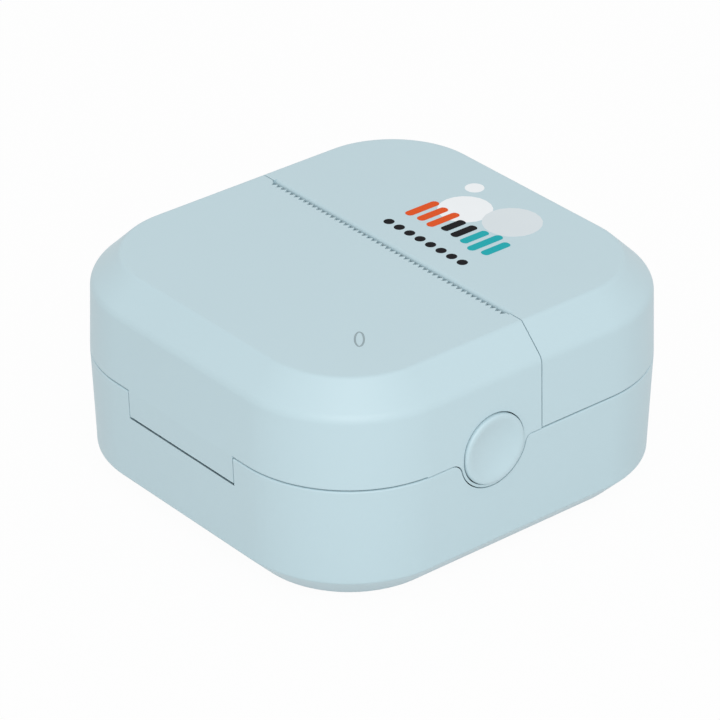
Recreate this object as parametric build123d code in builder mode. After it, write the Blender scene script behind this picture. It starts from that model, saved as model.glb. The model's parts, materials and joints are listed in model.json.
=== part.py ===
from build123d import *
from math import acos, atan2, cos, pi, radians, sin, sqrt, tan
import os

# Portable thermal printer: a palm-sized box whose paper cover flips open at the front.
# X runs across the paper, -Y is the front wall with the hinge and +Z is up.
# The origin lies on the desk, under the middle of the casing. Sizes are in mm.

# Casing: the walls close round the works inside, with these rooms between
wall = 1.8
front_room = 5.1
side_room = 0.69
rear_room = 2.5
roof_room = 1.3
seam_rise = 4.2
shoulder_drop = 5.0
heel_height = 4.4
corner_radius = 21.5
top_inset = 5.5
shoulder_inset = 0.42
heel_inset = 0.66
sole_inset = 5.0
top_round = 1.0
shoulder_round = 2.5
heel_round = 0.8
rim_round = 0.3
seam = 0.2
foot_proud = 0.6

# Clearances
running_fit = 0.06
sliding_fit = 0.15
loose_gap = 0.3

# Paper, tear teeth and paper slot
paper_width = 57.0
slot_margin = 1.5
tooth_pitch = 1.21
tooth_depth = 0.95
tooth_setback = 0.3
slot_setback = 0.1
slot_end = 0.5
lip_round = 0.8
lip_height = 1.0
lip_slope = 1.1

# Hinge of the paper cover
hinge_inset = 1.4
hinge_drop = 3.6
barrel_radius = 1.25
hinge_pin_radius = 0.6
tab_width = 27.7
lug_length = 4.0
lug_radius = 1.9

# Cover release button, with its guide, spring and lever
button_radius = 6.3
button_ring = 0.45
button_step = 5.8
button_rise = 0.17
button_proud = 0.5
button_travel = 1.3
button_skin = 1.1
button_wall = 1.2
dish_depth = 1.0
dish_radius = 5.4
flange_lip = 1.0
flange_thickness = 1.0
stem_radius = 2.0
stem_tip_radius = 1.0
scoop_round_front = 2.2
scoop_round_rear = 1.1
guide_gap = 0.7
guide_thickness = 1.0
guide_width = 7.0
button_spring_wire = 0.35
button_spring_turns = 3
lever_thickness = 1.0
lever_width = 2.8
lever_pin_radius = 0.6
lever_drop = 5.0
lever_hub_radius = 1.2
lever_kicker = 2.2
lever_lug = 1.2

# Paper roll and the tray that it lies in
roll_radius = 15.0
core_radius = 6.5
core_wall = 1.0
tray_wall = 1.0
deck_thickness = 1.2
deck_drop = 1.1
tray_post_step = 3.3
post_radius = 2.2
screw_radius = 0.8
screw_head_radius = 1.5
screw_head_height = 0.8
tray_screw_length = 7.0
short_screw_length = 5.0

# Platen roller in its bracket on the cover
platen_radius = 4.0
platen_step = 3.1
platen_rise = 12.8
platen_overhang = 0.25
shaft_radius = 1.5
bush_radius = 2.8
bush_seat_gap = 0.25
bracket_arm = 1.2
bracket_plate = 1.2
bracket_boss = 1.0
bracket_reach = 5.5
bracket_post_x = 22.0
clip_radius = 2.6
clip_thickness = 0.6

# Print head and the steel frame that carries it
ceramic_thickness = 1.0
ceramic_height = 9.0
heatsink_thickness = 2.0
heatsink_height = 12.4
head_overhang = 1.3
head_pin_radius = 0.8
head_spring_length = 3.6
head_spring_radius = 1.5
head_spring_wire = 0.4
head_spring_turns = 4
head_spring_spread = 30.0
frame_sheet = 1.0
frame_reach = 2.5
frame_rise = 3.4
frame_hook = 2.2
frame_hook_drop = 5.4
frame_foot_height = 5.6
frame_post_inset = 2.95

# Gear train on the left side plate
gear_module = 0.4
addendum = 0.24
dedendum = 0.38
backlash = 0.08
platen_teeth = 20
drive_teeth = 24
reduction_small_teeth = 12
reduction_big_teeth = 36
pinion_teeth = 10
gear_width = 1.8
gear_gap = 0.5
layer_gap = 0.2
axle_radius = 0.75
drive_lean = -72.7
reduction_lean = -45.0
motor_lean = -40.0
motor_radius = 7.0
motor_length = 11.0

# Electronics in the rear of the base, the circuit board above the battery
battery_size = (33.0, 25.0, 7.0)
battery_step = (4.2, -1.0)
pad_thickness = 0.5
board_size = (40.6, 27.6, 1.6)
board_step = (2.55, -2.0)
board_headroom = 2.1
board_post_radius = 1.4
usb_size = (8.9, 7.6, 3.2)
usb_recess = 0.4
usb_step = -9.3
light_step = 0.7
light_radius = 1.0
power_step = 8.7
power_radius = 3.0
switch_size = (6.0, 2.6, 3.6)
chip_height = 1.2
chips = [(-1.3, -2.8, 8.0, 8.0), (9.7, -5.8, 5.0, 6.0), (-12.3, -4.8, 6.0, 4.0),
         (light_step, 11.2, 2.0, 1.6)]
sensor_size = (5.0, 3.0, 2.5)
sensor_x = 9.0

# Long case screws and feet
case_screw_radius = 0.95
case_head_radius = 1.9
case_head_height = 1.4
case_screw_reach = 7.0
case_screw_sink = 12.0
pillar_radius = 2.9
pillar_inset = (11.0, 12.9)
side_pillar_inset = 7.7
side_pillar_step = 3.5
foot_radius = 4.0
foot_thickness = 1.5
foot_inset = (17.0, 15.9)

# Levels, from the desk up
sole_z = foot_proud
floor_z = sole_z + wall
heel_z = sole_z + heel_height
roll_z = floor_z + tray_wall + loose_gap + roll_radius
seam_z = roll_z + seam_rise
base_rim_z = seam_z - seam / 2
cover_rim_z = seam_z + seam / 2
deck_z = base_rim_z - deck_drop
hinge_z = seam_z - hinge_drop
button_z = seam_z + button_rise
lever_z = button_z - lever_drop
platen_z = roll_z + platen_rise
bracket_low_z = platen_z + platen_radius + roof_room
bracket_top_z = bracket_low_z + bracket_plate
ceiling_z = bracket_top_z + bracket_boss
top_z = ceiling_z + wall
shoulder_z = top_z - shoulder_drop
frame_foot_z = floor_z + frame_foot_height
frame_top = platen_z + frame_rise
board_z = floor_z + pad_thickness + battery_size[2] + board_headroom
board_top_z = board_z + board_size[2]
power_z = board_top_z + switch_size[2] / 2
screw_head_z = sole_z + case_screw_sink
screw_tip_z = base_rim_z + case_screw_reach

# Places across, from the middle out
platen_length = paper_width + 2 * platen_overhang
head_width = paper_width + 2 * head_overhang
arm_x = platen_length / 2 + loose_gap
plate_x = arm_x + bracket_arm + loose_gap
gear_x = plate_x + frame_sheet + gear_gap
layer_x = gear_x + gear_width + layer_gap
half_width = layer_x + gear_width + side_room + heel_inset + wall
casing_width = 2 * half_width
cheek_x = paper_width / 2 + 2 * loose_gap
tray_x = cheek_x + tray_wall
lever_x = tray_x + button_travel
guide_x = lever_x + lever_thickness + guide_gap
flange_x = half_width - wall - shoulder_inset - sliding_fit
bush_length = plate_x + frame_sheet + loose_gap - arm_x
notch_half = tab_width / 2 + seam
button_hole = button_radius + seam
scoop_radius = button_hole + button_ring + seam
tray_radius = roll_radius + loose_gap
board_x = motor_length - plate_x + board_step[0] + board_size[0] / 2
usb_x = board_x + usb_step
light_x = board_x + light_step
power_x = board_x + power_step
tooth_count = round((paper_width + 2 * slot_margin) / tooth_pitch)
slot_half = tooth_count * tooth_pitch / 2 + slot_end
tooth_side = sqrt((tooth_pitch / 2) ** 2 + tooth_depth**2)

# Places from the front wall to the rear one, which give the casing's depth
roll_depth = wall + front_room + roll_radius
platen_depth = roll_depth + roll_radius + platen_step
head_depth = platen_depth + platen_radius + loose_gap
frame_depth = (head_depth + ceramic_thickness + heatsink_thickness + head_spring_length
               + frame_sheet)
board_depth = frame_depth + board_step[1]
casing_depth = board_depth + board_size[1] + rear_room + wall
half_depth = casing_depth / 2
roll_y = roll_depth - half_depth
platen_y = platen_depth - half_depth
head_y = head_depth - half_depth
frame_rear = frame_depth - half_depth
board_y = board_depth - half_depth + board_size[1] / 2
split_y = head_y + loose_gap
hinge_y = hinge_inset - half_depth
button_y = platen_y - button_step
frame_front = platen_y - frame_reach

# Spots of the posts, pillars and feet
frame_posts = [(side * (plate_x - frame_post_inset), platen_y + frame_reach)
               for side in (-1, 1)]
tray_posts = [(side * (tray_x + tray_post_step), roll_y) for side in (-1, 1)]
bracket_posts = [(side * bracket_post_x, platen_y - bracket_reach) for side in (-1, 1)]
board_posts = [
    (board_x + side * (board_size[0] / 2 - board_post_radius),
     board_y + end * (board_size[1] / 2 - board_post_radius))
    for side in (-1, 1) for end in (-1, 1)
]
pillar_spots = [(side * (half_width - pillar_inset[0]), half_depth - pillar_inset[1])
                for side in (-1, 1)]
pillar_spots.append((half_width - side_pillar_inset, frame_rear + side_pillar_step))
foot_spots = [(side * (half_width - foot_inset[0]), end * (half_depth - foot_inset[1]))
              for side in (-1, 1) for end in (-1, 1)]


def casing_block(low, low_inset, high, high_inset):
    """A block with the casing's outline, drawn in by the given insets at its two levels."""
    with BuildPart() as block:
        for level, inset in ((low, low_inset), (high, high_inset)):
            with BuildSketch(Plane.XY.offset(level)):
                RectangleRounded(
                    casing_width - 2 * inset, casing_depth - 2 * inset, corner_radius - inset
                )
        loft()
    return block.part


def upright(spots, radius, low, high):
    """Upright round posts at the given spots, between two levels."""
    with BuildPart() as posts:
        with BuildSketch(Plane.XY.offset(low)):
            with Locations(*spots):
                Circle(radius)
        extrude(amount=high - low)
    return posts.part


def across(y, z, radius, left, right):
    """A round bar along X, between two places."""
    with BuildPart() as bar:
        with BuildSketch(Plane.YZ.offset(left)):
            with Locations((y, z)):
                Circle(radius)
        extrude(amount=right - left)
    return bar.part


def block(left, right, front, rear, low, high):
    """A plain block between three pairs of faces."""
    with BuildPart() as solid:
        with BuildSketch(Plane.XY.offset(low)):
            with Locations(((left + right) / 2, (front + rear) / 2)):
                Rectangle(right - left, rear - front)
        extrude(amount=high - low)
    return solid.part


def level_edges(part, z):
    """The edges of a part that lie at one level."""
    return part.edges().filter_by(
        lambda e: max(abs(e.bounding_box().min.Z - z), abs(e.bounding_box().max.Z - z)) < 0.001
    )


def save(sub_part, name):
    """Names a finished sub-part and writes its file."""
    sub_part.label = name
    export_step(sub_part, f"parts/{name}.step")


# The inside of the casing keeps the wall's thickness behind every slope
top_slope = (top_inset - shoulder_inset) / (top_z - shoulder_z)
sole_slope = (sole_inset - heel_inset) / (heel_z - sole_z)
top_slant = wall * sqrt(1 + top_slope**2)
sole_slant = wall * sqrt(1 + sole_slope**2)
ceiling_inset = top_inset - top_slope * wall + top_slant
floor_inset = sole_inset - sole_slope * wall + sole_slant
inner_shoulder_z = shoulder_z - (top_slant - wall) / top_slope
inner_heel_z = heel_z + (sole_slant - wall) / sole_slope
casing_low = (
    casing_block(sole_z, sole_inset, heel_z, heel_inset)
    + casing_block(heel_z, heel_inset, seam_z, 0)
)
casing_high = (
    casing_block(seam_z, 0, shoulder_z, shoulder_inset)
    + casing_block(shoulder_z, shoulder_inset, top_z, top_inset)
)
cavity_low = (
    casing_block(floor_z, floor_inset, inner_heel_z, heel_inset + wall)
    + casing_block(inner_heel_z, heel_inset + wall, seam_z, wall)
)
cavity_high = (
    casing_block(seam_z, wall, inner_shoulder_z, shoulder_inset + wall)
    + casing_block(inner_shoulder_z, shoulder_inset + wall, ceiling_z, ceiling_inset)
)
casing_wall = (casing_low + casing_high) - (cavity_low + cavity_high)

# The base dips in a half round under the release button, with a soft shoulder each side
with BuildSketch(Plane.YZ) as scoop:
    with Locations((button_y, button_z)):
        Circle(scoop_radius)
    with Locations((button_y, base_rim_z)):
        Rectangle(4 * scoop_radius, 2 * scoop_radius, align=(Align.CENTER, Align.MIN))
    corners = scoop.vertices().filter_by(
        lambda v: abs(v.Y - base_rim_z) < 0.01 and abs(v.X - button_y) < scoop_radius + 0.1
    ).sort_by(Axis.X)
    fillet(corners[0], scoop_round_front)
    corners = scoop.vertices().filter_by(
        lambda v: abs(v.Y - base_rim_z) < 0.01 and 0 < v.X - button_y < scoop_radius + 0.1
    )
    fillet(corners, scoop_round_rear)
scoop_cut = extrude(scoop.sketch, amount=casing_width)

# The cover follows that dip one seam higher, as a thin ring round the button, and its hinge
# tab fills a notch in the base
with BuildSketch(Plane.YZ) as ear:
    add(scoop.sketch_local)
    offset(amount=-seam, mode=Mode.REPLACE)
    with Locations((button_y, cover_rim_z + 2 * rim_round)):
        Rectangle(8 * scoop_radius, 8 * scoop_radius, align=(Align.CENTER, Align.MIN),
                  mode=Mode.SUBTRACT)
ear_patch = extrude(ear.sketch, amount=casing_width) & casing_wall
ear_patch -= block(0, casing_width, split_y - seam / 2, casing_depth, 0, top_z)
tab_patch = casing_wall & block(
    -tab_width / 2, tab_width / 2, -casing_depth, -half_depth + corner_radius / 2,
    hinge_z - barrel_radius, cover_rim_z + 2 * rim_round,
)
tab_reach = sqrt(hinge_inset**2 + barrel_radius**2)

# Base shell
with BuildPart() as base_outside:
    add(casing_low)
    add(block(-casing_width, casing_width, -casing_depth, casing_depth, base_rim_z, top_z),
        mode=Mode.SUBTRACT)
    fillet(level_edges(base_outside, base_rim_z), rim_round)
    fillet(level_edges(base_outside, heel_z), heel_round)
    fillet(level_edges(base_outside, sole_z), heel_round)

with BuildPart() as base_shell:
    add(base_outside.part)
    add(cavity_low, mode=Mode.SUBTRACT)
    # Posts for the frame, the tray and the circuit board, and tall ones for the case screws
    add(upright(frame_posts, post_radius, floor_z, frame_foot_z))
    add(upright(tray_posts, post_radius, floor_z, deck_z - deck_thickness))
    add(upright(board_posts, board_post_radius, floor_z, board_z))
    add(upright(pillar_spots, pillar_radius, floor_z, base_rim_z))
    # Lugs that hold the ends of the hinge pin
    for left in (-notch_half - lug_length, notch_half):
        add(across(hinge_y, hinge_z, lug_radius, left, left + lug_length) & casing_low)
    # Notch for the hinge tab, with a hollow lip that the tab turns in
    add(block(-notch_half, notch_half, -casing_depth, hinge_y + 2 * wall, hinge_z, top_z),
        mode=Mode.SUBTRACT)
    add(across(hinge_y, hinge_z, tab_reach + seam, -notch_half, notch_half),
        mode=Mode.SUBTRACT)
    pin_half = notch_half + lug_length - 1
    add(across(hinge_y, hinge_z, hinge_pin_radius, -pin_half, pin_half), mode=Mode.SUBTRACT)
    # Dip under the release button
    add(scoop_cut, mode=Mode.SUBTRACT)
    # Screw holes
    add(upright(frame_posts, screw_radius, floor_z, frame_foot_z), mode=Mode.SUBTRACT)
    add(upright(tray_posts, screw_radius, frame_foot_z, deck_z), mode=Mode.SUBTRACT)
    add(upright(board_posts, screw_radius, floor_z + 2, board_z), mode=Mode.SUBTRACT)
    add(upright(pillar_spots, case_head_radius + sliding_fit, 0, screw_head_z),
        mode=Mode.SUBTRACT)
    add(upright(pillar_spots, case_screw_radius + sliding_fit, 0, top_z), mode=Mode.SUBTRACT)
    # Pockets for the feet
    add(upright(foot_spots, foot_radius, 0, foot_thickness), mode=Mode.SUBTRACT)
    # Openings in the rear wall for the socket, the light and the power button
    with BuildSketch(Plane.XZ.offset(-half_depth + 3 * wall)):
        with Locations((usb_x, board_top_z + usb_size[2] / 2)):
            SlotOverall(usb_size[0] + 2 * sliding_fit, usb_size[2] + 2 * sliding_fit)
        with Locations((light_x, power_z)):
            Circle(light_radius)
        with Locations((power_x, power_z)):
            Circle(power_radius + seam)
    extrude(amount=-4 * wall, mode=Mode.SUBTRACT)
save(base_shell.part, "base_shell")

# Feet
with BuildPart() as rubber_feet:
    add(upright(foot_spots, foot_radius, 0, foot_thickness))
    fillet(level_edges(rubber_feet, 0), foot_proud / 2)
save(rubber_feet.part, "rubber_feet")

# Upper casing, still whole
with BuildPart() as upper_outside:
    add(casing_high)
    add(block(-casing_width, casing_width, -casing_depth, casing_depth, 0, cover_rim_z),
        mode=Mode.SUBTRACT)
    fillet(level_edges(upper_outside, top_z), top_round)
    fillet(level_edges(upper_outside, shoulder_z), shoulder_round)
    fillet(level_edges(upper_outside, cover_rim_z), rim_round)
upper_shell = upper_outside.part - cavity_high

# Rear shell
rear_edge_y = split_y + seam / 2
lip_y = rear_edge_y + slot_setback
bulkhead_x = plate_x + frame_sheet + loose_gap
with BuildPart() as rear_shell:
    add(upper_shell)
    # Screw pillars and the walls beside the print head
    pillars = upright(pillar_spots, pillar_radius, cover_rim_z, top_z)
    cheeks = block(bulkhead_x, casing_width, rear_edge_y, rear_edge_y + wall, cover_rim_z, top_z)
    cheeks += block(-casing_width, -bulkhead_x, rear_edge_y, rear_edge_y + wall,
                    platen_z, top_z)
    add((pillars + cheeks) & upper_outside.part)
    add(block(-casing_width, casing_width, -casing_depth, rear_edge_y, 0, 2 * top_z),
        mode=Mode.SUBTRACT)
    add(upright(pillar_spots, case_screw_radius + running_fit, cover_rim_z, screw_tip_z + 1),
        mode=Mode.SUBTRACT)
    # Rear side of the paper slot: a round lip with a wall that slopes away below it
    with BuildSketch(Plane.YZ.offset(-slot_half)):
        with BuildLine():
            CenterArc((lip_y + lip_round, top_z - lip_round), lip_round, 90, 90)
            Polyline(
                (lip_y, top_z - lip_round),
                (lip_y, top_z - lip_height),
                (lip_y + lip_slope, ceiling_z),
                (split_y, ceiling_z),
                (split_y, top_z + wall),
                (lip_y + lip_round, top_z + wall),
                (lip_y + lip_round, top_z),
            )
        make_face()
    extrude(amount=2 * slot_half, mode=Mode.SUBTRACT)
save(rear_shell.part, "rear_shell")

# Paper cover with the tear teeth, the hinge tab and the hole for the button
cover_edge_y = split_y - seam / 2
with BuildPart() as front_cover:
    add(upper_shell)
    add(block(-casing_width, casing_width, cover_edge_y, casing_depth, 0, 2 * top_z),
        mode=Mode.SUBTRACT)
    add(tab_patch)
    add(ear_patch)
    barrel = across(hinge_y, hinge_z, barrel_radius, -tab_width / 2, tab_width / 2)
    add(barrel & casing_low)
    add(across(hinge_y, hinge_z, hinge_pin_radius + running_fit, -tab_width, tab_width),
        mode=Mode.SUBTRACT)
    add(across(button_y, button_z, button_hole, half_width - 3 * wall, casing_width),
        mode=Mode.SUBTRACT)
    # Rib that guides the stem of the button
    add(block(guide_x, guide_x + guide_thickness, button_y - guide_width / 2,
              button_y + guide_width / 2, button_z - guide_width / 2, ceiling_z)
        & (casing_high + cavity_low))
    add(across(button_y, button_z, stem_radius + sliding_fit, guide_x - 1,
               guide_x + guide_thickness + 1), mode=Mode.SUBTRACT)
    # Bosses on the ceiling that the platen bracket is screwed to
    add(upright(bracket_posts, post_radius, bracket_top_z, ceiling_z))
    add(upright(bracket_posts, screw_radius, bracket_top_z, ceiling_z), mode=Mode.SUBTRACT)
    # Front side of the paper slot, with the tear teeth along it
    tooth_tip_y = cover_edge_y - tooth_setback
    add(block(-slot_half, slot_half, tooth_tip_y, rear_edge_y, ceiling_z - wall, top_z + wall),
        mode=Mode.SUBTRACT)
    with BuildSketch(Plane.XY.offset(ceiling_z - wall)):
        with GridLocations(tooth_pitch, 1, tooth_count, 1):
            with Locations((0, tooth_tip_y)):
                Triangle(a=tooth_pitch, b=tooth_side, c=tooth_side, rotation=180,
                         align=(Align.CENTER, Align.MIN))
    extrude(amount=3 * wall, mode=Mode.SUBTRACT)
save(front_cover.part, "front_cover")

# Hinge pin
with BuildPart() as hinge_pin:
    add(across(hinge_y, hinge_z, hinge_pin_radius, -pin_half, pin_half))
save(hinge_pin.part, "hinge_pin")

# Tray that the paper roll lies in, with the deck that hides the works
deck_low_z = deck_z - deck_thickness
deck_rear_y = head_y - loose_gap
tray_inset = wall + sliding_fit
tray_room = (
    casing_block(0, heel_inset + tray_inset, inner_heel_z, heel_inset + tray_inset)
    + casing_block(inner_heel_z, heel_inset + tray_inset, seam_z, tray_inset)
)
button_bay = button_radius + flange_lip + 2 * loose_gap
lug_rows = (button_y - lever_width / 2 - sliding_fit - lever_lug,
            button_y + lever_width / 2 + sliding_fit)
with BuildPart() as paper_tray:
    with BuildSketch(Plane.YZ.offset(-tray_x)):
        with Locations((roll_y, roll_z)):
            Circle(tray_radius + tray_wall)
            Rectangle(2 * (tray_radius + tray_wall), deck_z - roll_z,
                      align=(Align.CENTER, Align.MIN))
        with Locations((roll_y, deck_z)):
            Rectangle(4 * roll_radius, 2 * roll_radius, align=(Align.CENTER, Align.MIN),
                      mode=Mode.SUBTRACT)
    extrude(amount=2 * tray_x)
    add(casing_block(deck_low_z, wall, deck_z, wall))
    # Trough for the roll
    with BuildSketch(Plane.YZ.offset(-cheek_x)):
        with Locations((roll_y, roll_z)):
            Circle(tray_radius)
            Rectangle(2 * tray_radius, roll_radius, align=(Align.CENTER, Align.MIN))
    extrude(amount=2 * cheek_x, mode=Mode.SUBTRACT)
    add(tray_room, mode=Mode.INTERSECT)
    # Room for the head and rear shell, the frame and gears, the button and the hinge
    add(block(-casing_width, casing_width, deck_rear_y, casing_depth, deck_low_z, deck_z),
        mode=Mode.SUBTRACT)
    for left, right in ((-casing_width, -tray_x), (tray_x, casing_width)):
        add(block(left, right, frame_front - frame_hook, casing_depth, deck_low_z, deck_z),
            mode=Mode.SUBTRACT)
    add(block(tray_x, casing_width, button_y - button_bay, button_y + button_bay,
              deck_low_z, deck_z), mode=Mode.SUBTRACT)
    add(block(-pin_half - 1, pin_half + 1, -casing_depth, hinge_y + lug_radius + loose_gap,
              deck_low_z, deck_z), mode=Mode.SUBTRACT)
    # Lugs for the lever's pin
    for front in lug_rows:
        add(block(tray_x, lever_x + lever_thickness / 2 + lever_hub_radius, front,
                  front + lever_lug, lever_z - lever_hub_radius, lever_z + lever_hub_radius))
    with BuildSketch(Plane.XZ.offset(-lug_rows[0])):
        with Locations((lever_x + lever_thickness / 2, lever_z)):
            Circle(lever_pin_radius)
    extrude(amount=-3 * lever_width, mode=Mode.SUBTRACT)
    add(upright(tray_posts, screw_radius + running_fit, deck_low_z, deck_z),
        mode=Mode.SUBTRACT)
save(paper_tray.part, "paper_tray")


def pan_screws(spots, seat, length, radius, head_radius, head_height, direction):
    """Round-headed screws with a cross recess; direction is 1 with the head on top."""
    with BuildPart() as screws:
        low = seat - length if direction > 0 else seat
        add(upright(spots, radius, low, low + length))
        head = seat if direction > 0 else seat - head_height
        add(upright(spots, head_radius, head, head + head_height))
        outer = head + head_height if direction > 0 else head
        with BuildSketch(Plane.XY.offset(outer)):
            with Locations(*spots):
                Rectangle(1.2 * head_radius, 0.3 * head_radius)
                Rectangle(0.3 * head_radius, 1.2 * head_radius)
        extrude(amount=-direction * head_height / 2, mode=Mode.SUBTRACT)
    return screws.part


tray_screws = pan_screws(tray_posts, deck_z, tray_screw_length, screw_radius,
                         screw_head_radius, screw_head_height, 1)
save(tray_screws, "tray_screws")
case_screws = pan_screws(pillar_spots, screw_head_z, screw_tip_z - screw_head_z,
                         case_screw_radius, case_head_radius, case_head_height, -1)
save(case_screws, "case_screws")

# Paper roll on its core
roll_half = paper_width / 2
with BuildPart() as paper_roll:
    add(across(roll_y, roll_z, roll_radius, -roll_half, roll_half))
    add(across(roll_y, roll_z, core_radius, -roll_half, roll_half), mode=Mode.SUBTRACT)
save(paper_roll.part, "paper_roll")
with BuildPart() as roll_core:
    add(across(roll_y, roll_z, core_radius, -roll_half, roll_half))
    add(across(roll_y, roll_z, core_radius - core_wall, -roll_half, roll_half),
        mode=Mode.SUBTRACT)
save(roll_core.part, "roll_core")

# Release button: a dished cap with a flange behind the wall and a stem
button_face_x = half_width + button_proud
pocket_x = button_face_x - dish_depth - button_skin
stem_tip_x = lever_x + lever_thickness + loose_gap
dish_sphere = (dish_radius**2 + dish_depth**2) / (2 * dish_depth)
with BuildPart() as release_button:
    add(across(button_y, button_z, button_radius, flange_x - flange_thickness, button_face_x))
    fillet(release_button.edges().sort_by(Axis.X)[-1], button_proud)
    add(across(button_y, button_z, button_radius + flange_lip, flange_x - flange_thickness,
               flange_x))
    add(across(button_y, button_z, button_radius - button_wall, flange_x - 2, pocket_x),
        mode=Mode.SUBTRACT)
    with Locations((button_face_x - dish_depth + dish_sphere, button_y, button_z)):
        Sphere(dish_sphere, mode=Mode.SUBTRACT)
    add(across(button_y, button_z, stem_radius, guide_x, pocket_x + button_skin / 2))
    add(across(button_y, button_z, stem_tip_radius, stem_tip_x, guide_x))
save(release_button.part, "release_button")


def coil(start, axis, radius, wire, length, turns):
    """A round-wire compression spring from a start point along an axis."""
    start = Vector(start) + Vector(axis) * (wire / 2)
    with BuildPart() as spring:
        with BuildLine() as path:
            Helix(pitch=(length - wire) / turns, height=length - wire, radius=radius,
                  center=start, direction=axis)
        with BuildSketch(Plane(origin=path.line @ 0, z_dir=path.line % 0)):
            Circle(wire / 2)
        sweep(path=path.line, is_frenet=True)
    return spring.part


spring_seat_x = guide_x + guide_thickness
button_spring = coil(
    (spring_seat_x, button_y, button_z), (1, 0, 0),
    stem_radius + sliding_fit + button_spring_wire, button_spring_wire,
    pocket_x - spring_seat_x, button_spring_turns,
)
save(button_spring, "button_spring")

# Release lever on its pin: the stem pushes the upright arm, and the short arm lifts
lever_axis_x = lever_x + lever_thickness / 2
with BuildPart() as release_lever:
    with BuildSketch(Plane.XZ.offset(-button_y - lever_width / 2)):
        with Locations((lever_axis_x, lever_z)):
            Circle(lever_hub_radius)
            Rectangle(lever_thickness, lever_drop + stem_tip_radius,
                      align=(Align.CENTER, Align.MIN))
            Rectangle(lever_kicker, lever_thickness, align=(Align.MIN, Align.CENTER))
            Circle(lever_pin_radius + running_fit, mode=Mode.SUBTRACT)
    extrude(amount=lever_width)
save(release_lever.part, "release_lever")
with BuildPart() as lever_pin:
    with BuildSketch(Plane.XZ.offset(-lug_rows[0])):
        with Locations((lever_axis_x, lever_z)):
            Circle(lever_pin_radius)
    extrude(amount=-(lug_rows[1] + lever_lug - lug_rows[0]))
save(lever_pin.part, "lever_pin")

# Platen roller: rubber on a steel shaft, with its gear, clip and two bushes
gear_left_x = -gear_x - gear_width
shaft_left = gear_left_x - clip_thickness
shaft_right = gear_x + 2 * clip_thickness
with BuildPart() as platen_shaft:
    add(across(platen_y, platen_z, shaft_radius, shaft_left, shaft_right))
    chamfer(platen_shaft.edges().filter_by(GeomType.CIRCLE), 0.3)
save(platen_shaft.part, "platen_shaft")
with BuildPart() as platen_rubber:
    add(across(platen_y, platen_z, platen_radius, -platen_length / 2, platen_length / 2))
    chamfer(platen_rubber.edges().filter_by(GeomType.CIRCLE), 0.3)
    add(across(platen_y, platen_z, shaft_radius, -platen_length, platen_length),
        mode=Mode.SUBTRACT)
save(platen_rubber.part, "platen_rubber")
with BuildPart() as shaft_clip:
    add(across(platen_y, platen_z, clip_radius, gear_x, gear_x + clip_thickness))
    add(across(platen_y, platen_z, shaft_radius, gear_x, gear_x + clip_thickness),
        mode=Mode.SUBTRACT)
    add(block(0, casing_width, platen_y - shaft_radius / 2, platen_y + shaft_radius / 2,
              platen_z, top_z), mode=Mode.SUBTRACT)
save(shaft_clip.part, "shaft_clip")
with BuildPart() as platen_bushes:
    for left in (-arm_x - bush_length, arm_x):
        add(across(platen_y, platen_z, bush_radius, left, left + bush_length))
    add(across(platen_y, platen_z, shaft_radius + running_fit, -casing_width, casing_width),
        mode=Mode.SUBTRACT)
save(platen_bushes.part, "platen_bushes")

# Bracket that hangs the platen from the ceiling of the cover
bracket_front_y = bracket_posts[0][1] - post_radius - 2 * loose_gap
bracket_rear_y = platen_y + bush_radius
with BuildPart() as platen_bracket:
    add(block(-arm_x - bracket_arm, arm_x + bracket_arm, bracket_front_y, bracket_rear_y,
              bracket_low_z, bracket_top_z))
    for left in (-arm_x - bracket_arm, arm_x):
        add(across(platen_y, platen_z, bush_radius + bracket_arm / 2, left, left + bracket_arm))
        add(block(left, left + bracket_arm, platen_y - bush_radius - bracket_arm / 2,
                  bracket_rear_y, platen_z, bracket_top_z))
    add(across(platen_y, platen_z, bush_radius, -casing_width, casing_width),
        mode=Mode.SUBTRACT)
    add(upright(bracket_posts, screw_radius + running_fit, bracket_low_z, bracket_top_z),
        mode=Mode.SUBTRACT)
save(platen_bracket.part, "platen_bracket")
bracket_screws = pan_screws(bracket_posts, bracket_low_z, ceiling_z - bracket_low_z,
                            screw_radius, screw_head_radius, screw_head_height, -1)
save(bracket_screws, "bracket_screws")


def mesh_phase(phase, teeth, direction, other_teeth):
    """The angle of a tooth on a gear that meshes, in a direction, with one of a given phase."""
    lag = (phase - direction) * teeth / 360
    return direction + 180 + (0.5 - lag) * 360 / other_teeth


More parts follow.
